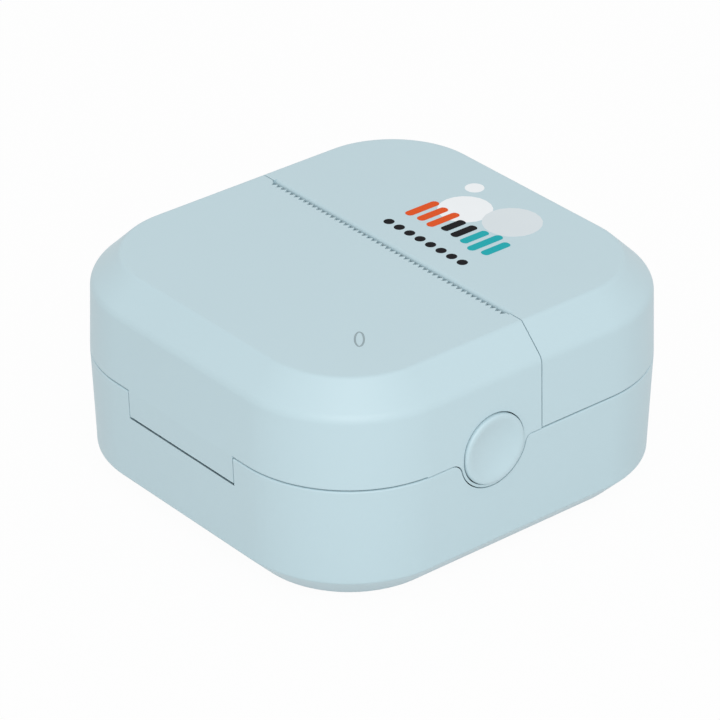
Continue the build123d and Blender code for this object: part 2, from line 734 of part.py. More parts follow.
def gear(y, z, teeth, phase, left, width, bore):
    """A spur gear on an axis along X, with one tooth's middle at the phase angle."""
    pitch_radius = gear_module * teeth / 2
    base_radius = pitch_radius * cos(radians(20))
    tip, root = pitch_radius + addendum, pitch_radius - dedendum

    def flank_angle(radius):
        """Half of the tooth's thickness at a radius, as an angle in degrees."""
        def involute(r):
            pressure = acos(min(1, base_radius / r))
            return tan(pressure) - pressure
        half = (pi * gear_module / 2 - backlash) / (2 * pitch_radius)
        return (half + involute(pitch_radius) - involute(max(radius, base_radius))) * 180 / pi

    def at(radius, angle):
        """A point on the gear's face."""
        return (y + radius * cos(radians(angle)), z + radius * sin(radians(angle)))

    foot = max(root, base_radius)
    middle = (foot + tip) / 2
    pitch = 360 / teeth
    with BuildPart() as wheel:
        with BuildSketch(Plane.YZ.offset(left)):
            with BuildLine():
                for number in range(teeth):
                    centre = phase + number * pitch
                    a, b, c = flank_angle(foot), flank_angle(middle), flank_angle(tip)
                    if foot > root:
                        Line(at(root, centre - a), at(foot, centre - a))
                        Line(at(foot, centre + a), at(root, centre + a))
                    ThreePointArc(at(foot, centre - a), at(middle, centre - b),
                                  at(tip, centre - c))
                    ThreePointArc(at(tip, centre - c), at(tip, centre), at(tip, centre + c))
                    ThreePointArc(at(tip, centre + c), at(middle, centre + b),
                                  at(foot, centre + a))
                    ThreePointArc(at(root, centre + a), at(root, centre + pitch / 2),
                                  at(root, centre + pitch - a))
            make_face()
            with Locations((y, z)):
                Circle(bore, mode=Mode.SUBTRACT)
        extrude(amount=width)
    return wheel.part


def step_off(y, z, teeth, other_teeth, lean):
    """The centre of a gear that meshes with one at (y, z), in a direction in degrees."""
    reach = gear_module * (teeth + other_teeth) / 2
    return y + reach * cos(radians(lean)), z + reach * sin(radians(lean))


# Gear train, from the platen down to the motor
drive_y, drive_z = step_off(platen_y, platen_z, platen_teeth, drive_teeth, drive_lean)
reduction_y, reduction_z = step_off(drive_y, drive_z, drive_teeth, reduction_small_teeth,
                                    reduction_lean)
motor_y, motor_z = step_off(reduction_y, reduction_z, reduction_big_teeth, pinion_teeth,
                            motor_lean)
platen_phase = 90.0
drive_phase = mesh_phase(platen_phase, platen_teeth, drive_lean, drive_teeth)
reduction_phase = mesh_phase(drive_phase, drive_teeth, reduction_lean, reduction_small_teeth)
pinion_phase = mesh_phase(reduction_phase, reduction_big_teeth, motor_lean, pinion_teeth)
outer_x = -layer_x - gear_width
with BuildPart() as platen_gear:
    add(gear(platen_y, platen_z, platen_teeth, platen_phase, gear_left_x, gear_width,
             shaft_radius))
save(platen_gear.part, "platen_gear")
with BuildPart() as drive_gear:
    add(gear(drive_y, drive_z, drive_teeth, drive_phase, gear_left_x, gear_width,
             axle_radius + running_fit))
save(drive_gear.part, "drive_gear")
with BuildPart() as reduction_gear:
    add(gear(reduction_y, reduction_z, reduction_big_teeth, reduction_phase, outer_x,
             gear_width, axle_radius + running_fit))
    add(gear(reduction_y, reduction_z, reduction_small_teeth, reduction_phase, -layer_x,
             gear_width + layer_gap, axle_radius + running_fit))
save(reduction_gear.part, "reduction_gear")
with BuildPart() as motor_pinion:
    add(gear(motor_y, motor_z, pinion_teeth, pinion_phase, outer_x, gear_width, axle_radius))
save(motor_pinion.part, "motor_pinion")
bearing_x = -plate_x + motor_length / 4
with BuildPart() as motor_shaft:
    add(across(motor_y, motor_z, axle_radius, outer_x, bearing_x))
save(motor_shaft.part, "motor_shaft")
with BuildPart() as motor:
    add(across(motor_y, motor_z, motor_radius, -plate_x, -plate_x + motor_length))
    fillet(motor.edges().sort_by(Axis.X)[-1], 1)
    add(across(motor_y, motor_z, axle_radius + running_fit, -plate_x, bearing_x + running_fit),
        mode=Mode.SUBTRACT)
save(motor.part, "motor")
with BuildPart() as gear_axles:
    add(across(drive_y, drive_z, axle_radius, gear_left_x, -plate_x))
    add(across(reduction_y, reduction_z, axle_radius, outer_x, -plate_x))
save(gear_axles.part, "gear_axles")

# Steel frame: two side plates, a rear plate and a foot on each side
plate_out_x = plate_x + frame_sheet
seat_lift = atan2(platen_z - hinge_z, platen_y - hinge_y) * 180 / pi
head_low_z = platen_z + ceramic_height / 2 - heatsink_height
head_pin_y = head_y + ceramic_thickness + heatsink_thickness / 2
head_pin_z = head_low_z + 2 * head_pin_radius
with BuildPart() as print_frame:
    for left in (-plate_x - frame_sheet, plate_x):
        add(block(left, left + frame_sheet, frame_front, frame_rear, frame_foot_z, frame_top))
        add(block(left, left + frame_sheet, frame_front - frame_hook, frame_front,
                  platen_z - frame_hook_drop, platen_z))
    add(block(-plate_out_x, -plate_x, frame_rear, motor_y + motor_radius,
              motor_z - motor_radius, motor_z + motor_radius))
    add(block(-plate_x, plate_x, frame_rear - frame_sheet, frame_rear,
              motor_z + motor_radius + loose_gap, frame_top))
    for left in (-plate_x, plate_x - 2 * post_radius - 2 * frame_sheet):
        add(block(left, left + 2 * post_radius + 2 * frame_sheet, frame_front,
                  frame_posts[0][1] + post_radius, frame_foot_z, frame_foot_z + frame_sheet))
    # Open seats for the bushes, along the path that the cover swings them on
    with BuildSketch(Plane.YZ.offset(-casing_width)):
        with Locations(Location((platen_y, platen_z, 0), (0, 0, seat_lift))):
            Circle(bush_radius + bush_seat_gap)
            Rectangle(2 * (bush_radius + bush_seat_gap), 4 * bush_radius,
                      align=(Align.CENTER, Align.MIN))
    extrude(amount=2 * casing_width, mode=Mode.SUBTRACT)
    add(across(head_pin_y, head_pin_z, head_pin_radius + running_fit, -casing_width,
               casing_width), mode=Mode.SUBTRACT)
    add(gear_axles.part, mode=Mode.SUBTRACT)
    add(across(motor_y, motor_z, 2 * axle_radius, -casing_width, -plate_x),
        mode=Mode.SUBTRACT)
    add(upright(frame_posts, screw_radius + running_fit, 0, 2 * frame_foot_z),
        mode=Mode.SUBTRACT)
save(print_frame.part, "print_frame")
frame_screws = pan_screws(frame_posts, frame_foot_z + frame_sheet, short_screw_length,
                          screw_radius, screw_head_radius, screw_head_height, 1)
save(frame_screws, "frame_screws")

# Print head: a ceramic strip on an aluminium plate that tilts on two pins
with BuildPart() as head_ceramic:
    add(block(-head_width / 2, head_width / 2, head_y, head_y + ceramic_thickness,
              platen_z - ceramic_height / 2, platen_z + ceramic_height / 2))
save(head_ceramic.part, "head_ceramic")
with BuildPart() as head_plate:
    add(block(-head_width / 2, head_width / 2, head_y + ceramic_thickness,
              head_y + ceramic_thickness + heatsink_thickness, head_low_z,
              head_low_z + heatsink_height))
    add(across(head_pin_y, head_pin_z, head_pin_radius, -casing_width, casing_width)
        - block(2 * frame_sheet - head_width / 2, head_width / 2 - 2 * frame_sheet,
                -casing_width, casing_width, 0, top_z), mode=Mode.SUBTRACT)
save(head_plate.part, "head_plate")
with BuildPart() as head_pins:
    for left in (-plate_out_x, head_width / 2 - 2 * frame_sheet):
        add(across(head_pin_y, head_pin_z, head_pin_radius, left,
                   left + plate_out_x - head_width / 2 + 2 * frame_sheet))
save(head_pins.part, "head_pins")
spring_y = head_y + ceramic_thickness + heatsink_thickness
head_springs = Compound(children=[
    coil((side * head_spring_spread / 2, spring_y, platen_z), (0, 1, 0), head_spring_radius,
         head_spring_wire, frame_rear - frame_sheet - spring_y, head_spring_turns)
    for side in (-1, 1)
])
save(head_springs, "head_springs")

# Battery on its pad
battery_low_z = floor_z + pad_thickness
battery_left = board_x - board_size[0] / 2 + battery_step[0]
battery_front = board_y - board_size[1] / 2 + battery_step[1]
battery_box = (battery_left, battery_left + battery_size[0], battery_front,
               battery_front + battery_size[1])
with BuildPart() as battery:
    add(block(*battery_box, battery_low_z, battery_low_z + battery_size[2]))
    fillet(battery.edges().filter_by(Axis.Y), 1.5)
save(battery.part, "battery")
with BuildPart() as battery_pad:
    add(block(*battery_box, floor_z, battery_low_z))
save(battery_pad.part, "battery_pad")

# Circuit board with its screws, chips and switch
board_rear_y = board_y + board_size[1] / 2
with BuildPart() as circuit_board:
    add(block(board_x - board_size[0] / 2, board_x + board_size[0] / 2,
              board_rear_y - board_size[1], board_rear_y, board_z, board_top_z))
    add(upright(board_posts, screw_radius + running_fit, board_z, board_top_z),
        mode=Mode.SUBTRACT)
save(circuit_board.part, "circuit_board")
board_screws = pan_screws(board_posts, board_top_z, short_screw_length, screw_radius,
                          screw_head_radius, screw_head_height, 1)
save(board_screws, "board_screws")
with BuildPart() as board_chips:
    with BuildSketch(Plane.XY.offset(board_top_z)):
        for chip_x, chip_y, chip_width, chip_depth in chips:
            with Locations((board_x + chip_x, board_y + chip_y)):
                Rectangle(chip_width, chip_depth)
    extrude(amount=chip_height)
save(board_chips.part, "board_chips")
with BuildPart() as power_switch:
    add(block(power_x - switch_size[0] / 2, power_x + switch_size[0] / 2,
              board_rear_y - switch_size[1], board_rear_y, board_top_z,
              board_top_z + switch_size[2]))
save(power_switch.part, "power_switch")

# Charging socket, a rounded metal shell with its tongue
usb_z = board_top_z + usb_size[2] / 2
usb_rear_y = half_depth - usb_recess
with BuildPart() as charging_socket:
    with BuildSketch(Plane.XZ.offset(-usb_rear_y)):
        with Locations((usb_x, usb_z)):
            SlotOverall(usb_size[0], usb_size[2])
    extrude(amount=usb_size[1])
    with BuildSketch(Plane.XZ.offset(-usb_rear_y)):
        with Locations((usb_x, usb_z)):
            SlotOverall(usb_size[0] - 0.6, usb_size[2] - 0.6)
    extrude(amount=usb_size[1] - 1, mode=Mode.SUBTRACT)
    with BuildSketch(Plane.XZ.offset(-usb_rear_y + 0.6)):
        with Locations((usb_x, usb_z)):
            Rectangle(0.75 * usb_size[0], 0.7)
    extrude(amount=usb_size[1] - 1)
save(charging_socket.part, "charging_socket")

# Light pipe of the status light, and the power button beside it
wall_in_y = half_depth - heel_inset / 2 - wall
with BuildPart() as light_pipe:
    with BuildSketch(Plane.XZ.offset(-half_depth + heel_inset / 2)):
        with Locations((light_x, power_z)):
            Circle(light_radius)
    extrude(amount=half_depth - heel_inset / 2 - board_rear_y)
    with BuildSketch(Plane.XZ.offset(-board_rear_y)):
        with Locations((light_x, board_top_z)):
            Rectangle(2 * light_radius, power_z - board_top_z + light_radius,
                      align=(Align.CENTER, Align.MIN))
    extrude(amount=light_radius)
save(light_pipe.part, "light_pipe")
power_flange_y = wall_in_y - sliding_fit
with BuildPart() as power_button:
    with BuildSketch(Plane.XZ.offset(-half_depth)):
        with Locations((power_x, power_z)):
            Circle(power_radius)
    extrude(amount=half_depth - power_flange_y + flange_thickness)
    fillet(power_button.edges().sort_by(Axis.Y)[-1], 0.4)
    with BuildSketch(Plane.XZ.offset(-power_flange_y)):
        with Locations((power_x, power_z)):
            Circle(power_radius + 2 * loose_gap)
    extrude(amount=flange_thickness)
save(power_button.part, "power_button")

# Paper sensor on the deck, under the platen
with BuildPart() as paper_sensor:
    add(block(sensor_x - sensor_size[0] / 2, sensor_x + sensor_size[0] / 2,
              platen_y - sensor_size[1] / 2, platen_y + sensor_size[1] / 2,
              deck_z, deck_z + sensor_size[2]))
    fillet(level_edges(paper_sensor, deck_z + sensor_size[2]), 0.3)
save(paper_sensor.part, "paper_sensor")
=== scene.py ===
# %% [markdown]
# A pocket thermal printer: a rounded box of pale plastic whose front half flips open over a
# roll of paper. The shapes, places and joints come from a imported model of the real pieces.
# This lesson gives those pieces their finish, and adds the small repeated details that are
# easier to grow here than to draw. Sizes are in metres, and MM turns millimetres into them.

import json
from math import cos, radians, sin

import bmesh
import bpy
from mathutils import Matrix, Vector


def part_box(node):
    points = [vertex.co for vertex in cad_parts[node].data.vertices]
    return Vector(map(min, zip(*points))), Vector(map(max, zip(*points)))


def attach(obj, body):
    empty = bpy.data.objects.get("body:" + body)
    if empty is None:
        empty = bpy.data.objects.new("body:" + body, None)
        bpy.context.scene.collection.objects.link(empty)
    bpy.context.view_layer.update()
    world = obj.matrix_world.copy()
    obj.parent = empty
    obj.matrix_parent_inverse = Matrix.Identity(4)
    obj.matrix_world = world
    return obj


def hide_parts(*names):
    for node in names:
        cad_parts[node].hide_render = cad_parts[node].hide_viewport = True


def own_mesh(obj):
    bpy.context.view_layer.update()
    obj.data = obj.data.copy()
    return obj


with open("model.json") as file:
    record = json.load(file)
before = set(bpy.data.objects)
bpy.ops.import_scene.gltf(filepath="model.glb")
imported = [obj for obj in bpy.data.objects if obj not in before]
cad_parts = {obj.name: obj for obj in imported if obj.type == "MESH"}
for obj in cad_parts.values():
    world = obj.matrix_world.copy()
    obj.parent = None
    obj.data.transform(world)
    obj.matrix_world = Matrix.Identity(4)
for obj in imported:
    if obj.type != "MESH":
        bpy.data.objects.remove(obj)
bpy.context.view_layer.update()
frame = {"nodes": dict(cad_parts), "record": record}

# %% [markdown]
# The camera comes first, so that every later look is judged in the picture's own view. Small
# goods are shot with a long lens from a good way off, which keeps their edges nearly parallel.
# A camera could be turned by hand until it looks right; here its direction is worked out from
# an azimuth and an elevation, which are easy to compare with the picture.

# %% Camera
MM = 0.001
view_azimuth = radians(50.26)
view_elevation = radians(29.77)
view_roll = radians(-0.07)
view_distance = 0.7105
lens_px = 4193.75
image_px = 720
aim_height = 0.0194
aim_right = -0.00143
aim_up = 0.00068
shift_px = (3.09, -0.95)

back = Vector((
    sin(view_azimuth) * cos(view_elevation),
    -cos(view_azimuth) * cos(view_elevation),
    sin(view_elevation),
))
right = Vector((cos(view_azimuth), sin(view_azimuth), 0))
up = back.cross(right)
aim = Vector((0, 0, aim_height)) + right * aim_right + up * aim_up
camera_data = bpy.data.cameras.new("camera")
camera_data.sensor_width = 36
camera_data.lens = lens_px * camera_data.sensor_width / image_px
camera_data.shift_x = -shift_px[0] / image_px
camera_data.shift_y = shift_px[1] / image_px
camera_data.clip_start = 0.01
camera_data.clip_end = 20
camera = bpy.data.objects.new("camera", camera_data)
bpy.context.scene.collection.objects.link(camera)
turned = Matrix((right, up, back)).transposed() @ Matrix.Rotation(view_roll, 3, "Z")
camera.matrix_world = Matrix.Translation(aim + back * view_distance) @ turned.to_4x4()
bpy.context.scene.camera = camera
bpy.context.scene.view_settings.view_transform = "Standard"
print("lens", round(camera_data.lens, 1), "mm")


# %% [markdown]
# The studio is a white room without corners. The sky lights everything evenly, and one large
# soft lamp stands close to the camera, so that shadows are short and soft. More light would
# turn the background white but wash out the plastic. Instead the sky and the floor are white
# only to the camera, to gloss and to glass, and the floor still takes a faint shadow.

# %% Shader helpers
def nodes_of(tree):
    """Empties a node tree and returns its nodes and links."""
    tree.nodes.clear()
    return tree.nodes, tree.links


def seen_directly(nodes, links):
    """A mask that is 1 for camera, glossy and transmission rays."""
    path = nodes.new("ShaderNodeLightPath")
    either = nodes.new("ShaderNodeMath")
    either.operation = "MAXIMUM"
    links.new(path.outputs["Is Camera Ray"], either.inputs[0])
    links.new(path.outputs["Is Glossy Ray"], either.inputs[1])
    every = nodes.new("ShaderNodeMath")
    every.operation = "MAXIMUM"
    links.new(either.outputs[0], every.inputs[0])
    links.new(path.outputs["Is Transmission Ray"], every.inputs[1])
    return every.outputs[0]


# %% [markdown]
# The helpers are used twice: in the world, which is white to the camera and softer to the
# plastic, and in the floor, which is paper with a share of white glow. The floor could be a
# curved backdrop, but a flat sheet is enough where its far edge fades into the same white.

# %% World, lamp and floor
sky_strength = 0.75
lamp_strength = 4.3
lamp_size = 0.9
lamp_distance = 1.0
lamp_azimuth = radians(54)
lamp_elevation = radians(35)
floor_half = 3.0
floor_white_share = 0.96
floor_grey = 0.75

world = bpy.data.worlds.new("studio")
bpy.context.scene.world = world
world.use_nodes = True
nodes, links = nodes_of(world.node_tree)
sky = nodes.new("ShaderNodeBackground")
sky.inputs["Strength"].default_value = sky_strength
white = nodes.new("ShaderNodeBackground")
mixed = nodes.new("ShaderNodeMixShader")
for background in (sky, white):
    background.inputs["Color"].default_value = (1, 1, 1, 1)
links.new(seen_directly(nodes, links), mixed.inputs[0])
links.new(sky.outputs[0], mixed.inputs[1])
links.new(white.outputs[0], mixed.inputs[2])
links.new(mixed.outputs[0], nodes.new("ShaderNodeOutputWorld").inputs["Surface"])

lamp_data = bpy.data.lights.new("soft_lamp", "AREA")
lamp_data.shape = "DISK"
lamp_data.size = lamp_size
lamp_data.energy = lamp_strength
lamp = bpy.data.objects.new("soft_lamp", lamp_data)
bpy.context.scene.collection.objects.link(lamp)
toward_lamp = Vector((
    sin(lamp_azimuth) * cos(lamp_elevation),
    -cos(lamp_azimuth) * cos(lamp_elevation),
    sin(lamp_elevation),
))
lamp.location = toward_lamp * lamp_distance
lamp.rotation_euler = toward_lamp.to_track_quat("Z", "Y").to_euler()

floor_mesh = bpy.data.meshes.new("studio_floor")
floor_mesh.from_pydata(
    [(-floor_half, -floor_half, 0), (floor_half, -floor_half, 0),
     (floor_half, floor_half, 0), (-floor_half, floor_half, 0)],
    [], [(0, 1, 2, 3)],
)
floor = bpy.data.objects.new("studio_floor", floor_mesh)
bpy.context.scene.collection.objects.link(floor)
paper_white = bpy.data.materials.new("studio paper")
paper_white.use_nodes = True
nodes, links = nodes_of(paper_white.node_tree)
matt = nodes.new("ShaderNodeBsdfDiffuse")
matt.inputs["Color"].default_value = (floor_grey, floor_grey, floor_grey, 1)
glow = nodes.new("ShaderNodeEmission")
share = nodes.new("ShaderNodeMath")
share.operation = "MULTIPLY"
share.inputs[1].default_value = floor_white_share
links.new(seen_directly(nodes, links), share.inputs[0])
mixed = nodes.new("ShaderNodeMixShader")
links.new(share.outputs[0], mixed.inputs[0])
links.new(matt.outputs[0], mixed.inputs[1])
links.new(glow.outputs[0], mixed.inputs[2])
links.new(mixed.outputs[0], nodes.new("ShaderNodeOutputMaterial").inputs["Surface"])
floor_mesh.materials.append(paper_white)
print("studio ready, lamp", lamp_strength, "W, sky", sky_strength)

# %% [markdown]
# No surface is quite smooth: plastic copies the spark-eroded grain of its mould, sheet steel
# keeps the lines of the rolling mill, and a roller keeps the lines of its grinding. Painted
# images would do, but noise stays sharp at any distance. Two shared groups turn it into a
# height and a slight change of tone: one even, and one drawn out along an axis.

# %% Shared surface groups
def new_group(name, inputs, outputs):
    """A shader node group with named value inputs and outputs."""
    group = bpy.data.node_groups.new(name, "ShaderNodeTree")
    for label, value in inputs:
        socket = group.interface.new_socket(label, in_out="INPUT", socket_type="NodeSocketFloat")
        socket.default_value = value
    for label in outputs:
        group.interface.new_socket(label, in_out="OUTPUT", socket_type="NodeSocketFloat")
    entry = group.nodes.new("NodeGroupInput")
    leave = group.nodes.new("NodeGroupOutput")
    return group, entry, leave


moulded_grain, entry, leave = new_group(
    "Moulded grain", [("Fine", 4000.0), ("Coarse", 700.0), ("Cloud", 60.0)], ["Height", "Tone"]
)
nodes, links = moulded_grain.nodes, moulded_grain.links
place = nodes.new("ShaderNodeTexCoord")
noises = {}
for label, detail in (("Fine", 2.0), ("Coarse", 3.0), ("Cloud", 2.0)):
    noise = nodes.new("ShaderNodeTexNoise")
    noise.inputs["Detail"].default_value = detail
    links.new(place.outputs["Object"], noise.inputs["Vector"])
    links.new(entry.outputs[label], noise.inputs["Scale"])
    noises[label] = noise
added = nodes.new("ShaderNodeMath")
added.operation = "ADD"
links.new(noises["Fine"].outputs[0], added.inputs[0])
links.new(noises["Coarse"].outputs[0], added.inputs[1])
links.new(added.outputs[0], leave.inputs["Height"])
links.new(noises["Cloud"].outputs[0], leave.inputs["Tone"])

drawn_lines, entry, leave = new_group(
    "Drawn lines", [("Across X", 100.0), ("Across Y", 4000.0), ("Across Z", 4000.0)],
    ["Height", "Tone"],
)
nodes, links = drawn_lines.nodes, drawn_lines.links
place = nodes.new("ShaderNodeTexCoord")
scales = nodes.new("ShaderNodeCombineXYZ")
stretched = nodes.new("ShaderNodeVectorMath")
stretched.operation = "MULTIPLY"
for axis in "XYZ":
    links.new(entry.outputs["Across " + axis], scales.inputs[axis])
links.new(place.outputs["Object"], stretched.inputs[0])
links.new(scales.outputs[0], stretched.inputs[1])
streaks = nodes.new("ShaderNodeTexNoise")
streaks.inputs["Scale"].default_value = 1.0
streaks.inputs["Detail"].default_value = 3.0
links.new(stretched.outputs[0], streaks.inputs["Vector"])
links.new(streaks.outputs[0], leave.inputs["Height"])
links.new(streaks.outputs[0], leave.inputs["Tone"])
print("groups:", moulded_grain.name, "and", drawn_lines.name)


# %% [markdown]
# A finish is one Principled material. The group's height bends its normal through a Bump node,
# and the tone moves its colour and roughness a little. What is the same all over, such as
# Metallic, is set on the shader itself.

# %% One finish
def finish(name, colour, roughness, grain=moulded_grain, depth=0.05, tone=0.04, shader_values=(),
           **grain_values):
    """A material with grain: depth is the bump's strength and tone the change of colour."""
    material = bpy.data.materials.new(name)
    material.use_nodes = True
    nodes, links = nodes_of(material.node_tree)
    shader = nodes.new("ShaderNodeBsdfPrincipled")
    for label, value in dict(shader_values).items():
        shader.inputs[label].default_value = value
    pattern = nodes.new("ShaderNodeGroup")
    pattern.node_tree = grain
    for label, value in grain_values.items():
        pattern.inputs[label.replace("_", " ")].default_value = value
    bump = nodes.new("ShaderNodeBump")
    bump.inputs["Strength"].default_value = depth
    bump.inputs["Distance"].default_value = 0.1 * MM
    links.new(pattern.outputs["Height"], bump.inputs["Height"])
    links.new(bump.outputs[0], shader.inputs["Normal"])
    shade = nodes.new("ShaderNodeMix")
    shade.data_type = "RGBA"
    shade.inputs["A"].default_value = [value * (1 - tone) for value in colour] + [1]
    shade.inputs["B"].default_value = [min(1, value * (1 + tone)) for value in colour] + [1]
    links.new(pattern.outputs["Tone"], shade.inputs["Factor"])
    links.new(shade.outputs["Result"], shader.inputs["Base Color"])
    spread = nodes.new("ShaderNodeMapRange")
    spread.inputs["To Min"].default_value = roughness * 0.9
    spread.inputs["To Max"].default_value = roughness * 1.1
    links.new(pattern.outputs["Tone"], spread.inputs["Value"])
    links.new(spread.outputs[0], shader.inputs["Roughness"])
    links.new(shader.outputs[0], nodes.new("ShaderNodeOutputMaterial").inputs["Surface"])
    return material


# %% [markdown]
# The casing is one pale blue grey, with the satin of a finely eroded mould. The button comes
# from a smoother mould in the same colour. The tray, the bearings and the gears are unpainted
# engineering plastics, and the rubbers are ground, so their lines run round the roller.

# %% Plastics and rubbers
packed_colour = {row["slot"]: row["base_color"][:3] for row in frame["record"]["materials"]}
casing_colour = (0.500, 0.650, 0.703)
finishes = {
    "casing": finish("casing satin", casing_colour, 0.42, tone=0.012),
    "button": finish("button satin", casing_colour, 0.36, depth=0.03, tone=0.012),
    "tray": finish("tray plastic", packed_colour["tray"], 0.5, depth=0.1, tone=0.1),
    "bush_plastic": finish("bearing plastic", packed_colour["bush_plastic"], 0.4, tone=0.06),
    "gear_plastic": finish("gear plastic", packed_colour["gear_plastic"], 0.45, tone=0.06),
    "rubber": finish("foot rubber", packed_colour["rubber"], 0.75, depth=0.2, tone=0.1),
    "roller_rubber": finish(
        "ground roller rubber", packed_colour["roller_rubber"], 0.65, grain=drawn_lines,
        depth=0.15, tone=0.1, Across_X=5000.0, Across_Y=300.0, Across_Z=300.0,
    ),
    "foam": finish("cell foam", packed_colour["foam"], 0.95, depth=0.6, tone=0.2, Fine=2500.0),
    "clear_plastic": finish(
        "frosted light pipe", packed_colour["clear_plastic"], 0.4, depth=0.1,
        shader_values={"Transmission Weight": 0.5},
    ),
}
print(len(finishes), "plastics and rubbers")

# %% [markdown]
# The metals differ by how they were made more than by colour. Sheet is rolled, so its lines
# run one way; shafts and screws are turned, so theirs run round the axis; and the plated can
# and spring wire are nearly plain.

# %% Metals
metal = {"Metallic": 1.0}
turned = {"grain": drawn_lines, "Across_X": 6000.0, "Across_Y": 200.0, "Across_Z": 200.0}
finishes |= {
    "steel": finish("turned steel", packed_colour["steel"], 0.25, depth=0.04,
                    shader_values=metal, **turned),
    "screw_steel": finish("plated screw steel", packed_colour["screw_steel"], 0.32,
                          shader_values=metal),
    "spring_steel": finish("spring wire", packed_colour["spring_steel"], 0.3,
                           shader_values=metal),
    "frame_steel": finish("rolled sheet steel", packed_colour["frame_steel"], 0.38,
                          grain=drawn_lines, depth=0.05, tone=0.08, shader_values=metal,
                          Across_X=120.0, Across_Y=5000.0, Across_Z=5000.0),
    "motor_can": finish("plated can", packed_colour["motor_can"], 0.3, tone=0.06,
                        shader_values=metal),
    "brass": finish("turned brass", packed_colour["brass"], 0.25, depth=0.04,
                    shader_values=metal, **turned),
    "heatsink": finish("drawn aluminium", packed_colour["heatsink"], 0.35, grain=drawn_lines,
                       tone=0.05, shader_values=metal, Across_X=80.0, Across_Y=4000.0,
                       Across_Z=4000.0),
}
print(len(finishes), "finishes so far")

# %% [markdown]
# Paper is matt and faintly fibrous, and its cardboard core is coarser and browner. The print
# head is a glazed strip. The circuit board has a solder mask over its copper, and the cell is
# wrapped in a foil with a clear coat.

# %% Paper, print head and electronics
finishes |= {
    "paper": finish("coated paper", packed_colour["paper"], 0.6, tone=0.02, Fine=7000.0),
    "cardboard": finish("wound cardboard", packed_colour["cardboard"], 0.85, depth=0.3,
                        tone=0.15, Coarse=400.0),
    "head_ceramic": finish("ceramic strip", packed_colour["head_ceramic"], 0.25, tone=0.03),
    "battery_film": finish("cell foil", packed_colour["battery_film"], 0.35,
                           shader_values={"Coat Weight": 0.3}),
    "board": finish("solder mask", packed_colour["board"], 0.3, tone=0.15, Coarse=300.0),
    "chip": finish("chip moulding", packed_colour["chip"], 0.55, depth=0.1, tone=0.1),
}
bare = set(packed_colour) - set(finishes)
print(len(finishes), "finishes, slots without one:", sorted(bare))

# %% [markdown]
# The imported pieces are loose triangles, one flat facet each. A Subdivision Surface would round
# off what has to stay crisp, so a copy of each piece is welded instead, and shaded smooth
# across its gentle edges only. Each vertex's normal is led by its largest face, so that round
# corners look round and flat faces look flat.

# %% Welding and smoothing
node_slot = {row["node"]: row["material_slot"] for row in frame["record"]["subparts"]}
node_body = {
    node: body for body, nodes in frame["record"]["behaviour"]["bodies"].items()
    for node in nodes
}
weld_distance = 0.002 * MM
sharp_degrees = 28


def add_piece(name, mesh, body, slot, material=None):
    """Puts a finished mesh in the scene, on its body and with its slot's finish."""
    piece = bpy.data.objects.new(name, mesh)
    bpy.context.scene.collection.objects.link(piece)
    mesh.materials.clear()
    mesh.materials.append(material or finishes[slot])
    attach(piece, body)
    return piece


def settled(piece):
    """The piece's mesh with its modifiers applied; the piece itself is removed."""
    graph = bpy.context.evaluated_depsgraph_get()
    mesh = bpy.data.meshes.new_from_object(piece.evaluated_get(graph))
    bpy.data.objects.remove(piece)
    return mesh


def finished_copy(node):
    """A welded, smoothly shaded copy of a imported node, which it replaces."""
    mesh = frame["nodes"][node].data.copy()
    shape = bmesh.new()
    shape.from_mesh(mesh)
    bmesh.ops.remove_doubles(shape, verts=shape.verts, dist=weld_distance)
    for face in shape.faces:
        face.smooth = True
    for edge in shape.edges:
        edge.smooth = edge.is_manifold and edge.calc_face_angle(0) < radians(sharp_degrees)
    shape.to_mesh(mesh)
    shape.free()
    draft = bpy.data.objects.new(node, mesh)
    bpy.context.scene.collection.objects.link(draft)
    led = draft.modifiers.new("led by large faces", "WEIGHTED_NORMAL")
    led.keep_sharp = True
    led.weight = 100
    piece = add_piece(node + "_finished", settled(draft), node_body[node], node_slot[node])
    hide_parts(node)
    return piece


# %% [markdown]
# The outside is three shells, two buttons, the feet and what shows in the rear wall. They are
# the pieces that are seen first, so they are finished first and counted.

# %% The casing and what shows in it
casing_nodes = ["base_shell", "front_cover", "rear_shell", "release_button", "power_button",
                "rubber_feet", "light_pipe", "charging_socket"]
for node in casing_nodes:
    piece = finished_copy(node)
    print(node, len(piece.data.polygons), "faces")

# %% [markdown]
# The works show when the cover is open. They are finished in the same way, because a reader of
# the open printer looks straight at the roll, the roller and the print head.

# %% The works
work_nodes = sorted(set(node_body) - set(casing_nodes))
works = {node: finished_copy(node) for node in work_nodes}
print(len(works), "pieces of the works")

# %% [markdown]
# A spring gives way when the button is pressed or the print head rocks. Here each spring only
# gets its own copy of its mesh, so that it could be changed alone; it is not shortened for any
# pose.


def springy(node):
    """Gives a spring its own copy of its mesh; it is not shortened."""
    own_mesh(works[node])


springy("button_spring")
springy("head_springs")


# %% [markdown]
# Some details repeat or follow a path: rows of contacts, the windings of the paper, printed
# bars. Each could be copied by hand, but a node tree with named sizes says the rule once and
# is easy to change. A tree is run on an empty mesh, and what it grows is kept as plain faces.

# %% Growing pieces with Geometry Nodes
def new_tree(name, inputs):
    """A geometry node tree with named inputs, a finish and one geometry output."""
    tree = bpy.data.node_groups.new(name, "GeometryNodeTree")
    kinds = {int: "NodeSocketInt", float: "NodeSocketFloat"}
    for label, value in inputs:
        socket = tree.interface.new_socket(label, in_out="INPUT", socket_type=kinds[type(value)])
        socket.default_value = value
    tree.interface.new_socket("Finish", in_out="INPUT", socket_type="NodeSocketMaterial")
    tree.interface.new_socket("Geometry", in_out="OUTPUT", socket_type="NodeSocketGeometry")
    return tree, tree.nodes.new("NodeGroupInput")


